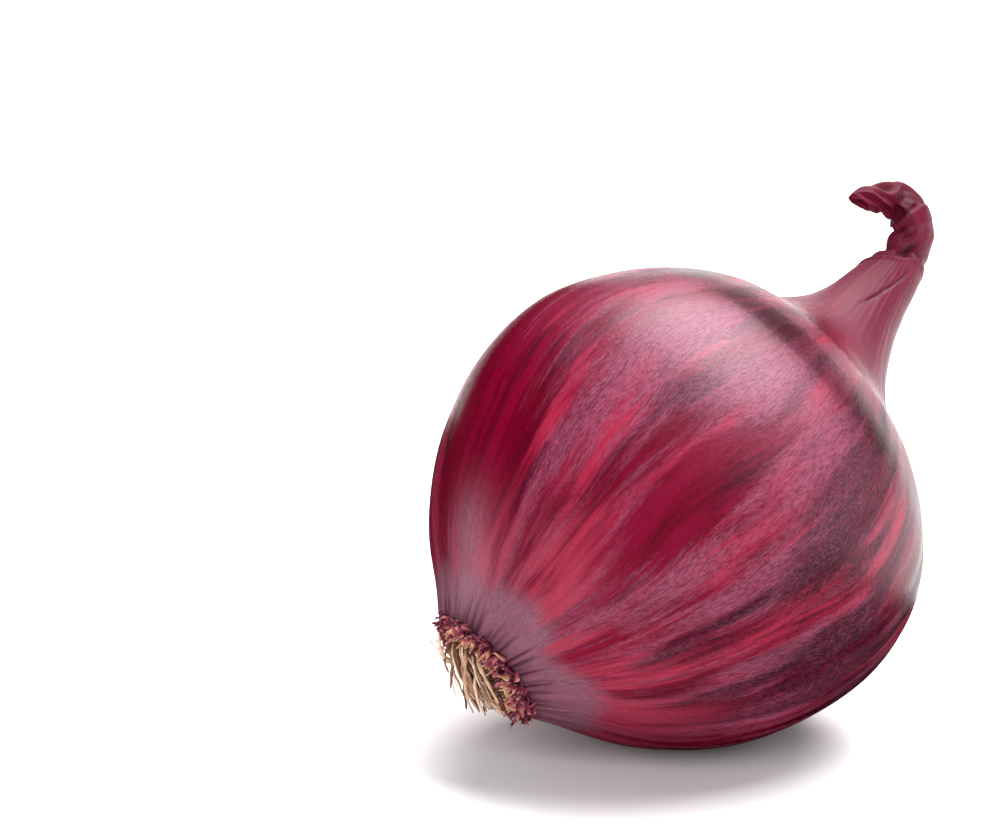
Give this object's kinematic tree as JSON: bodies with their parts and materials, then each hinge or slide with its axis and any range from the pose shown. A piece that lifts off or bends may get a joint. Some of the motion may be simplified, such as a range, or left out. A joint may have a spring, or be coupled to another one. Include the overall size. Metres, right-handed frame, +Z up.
{
  "type": "red onion",
  "caption": "Whole cured red onion lying on its side: round bulb in dry striped skin, a long dried neck that hooks over, and a tuft of dried roots at the other end.",
  "frame": {"origin": "centre of the small flat spot that the onion rests on, at the underside of the bulb", "axes": "+Z up, +X the level heading from the root end towards the neck, +Y across the onion"},
  "size_m": [0.1003, 0.0799, 0.0861],
  "materials": {
    "dry_skin": "satin, dry papery onion skin",
    "dried_roots": "matte, dried root fibre"
  },
  "bodies": {
    "root": {"bulb": "dry_skin", "root_tuft": "dried_roots"}
  },
  "joints": []
}
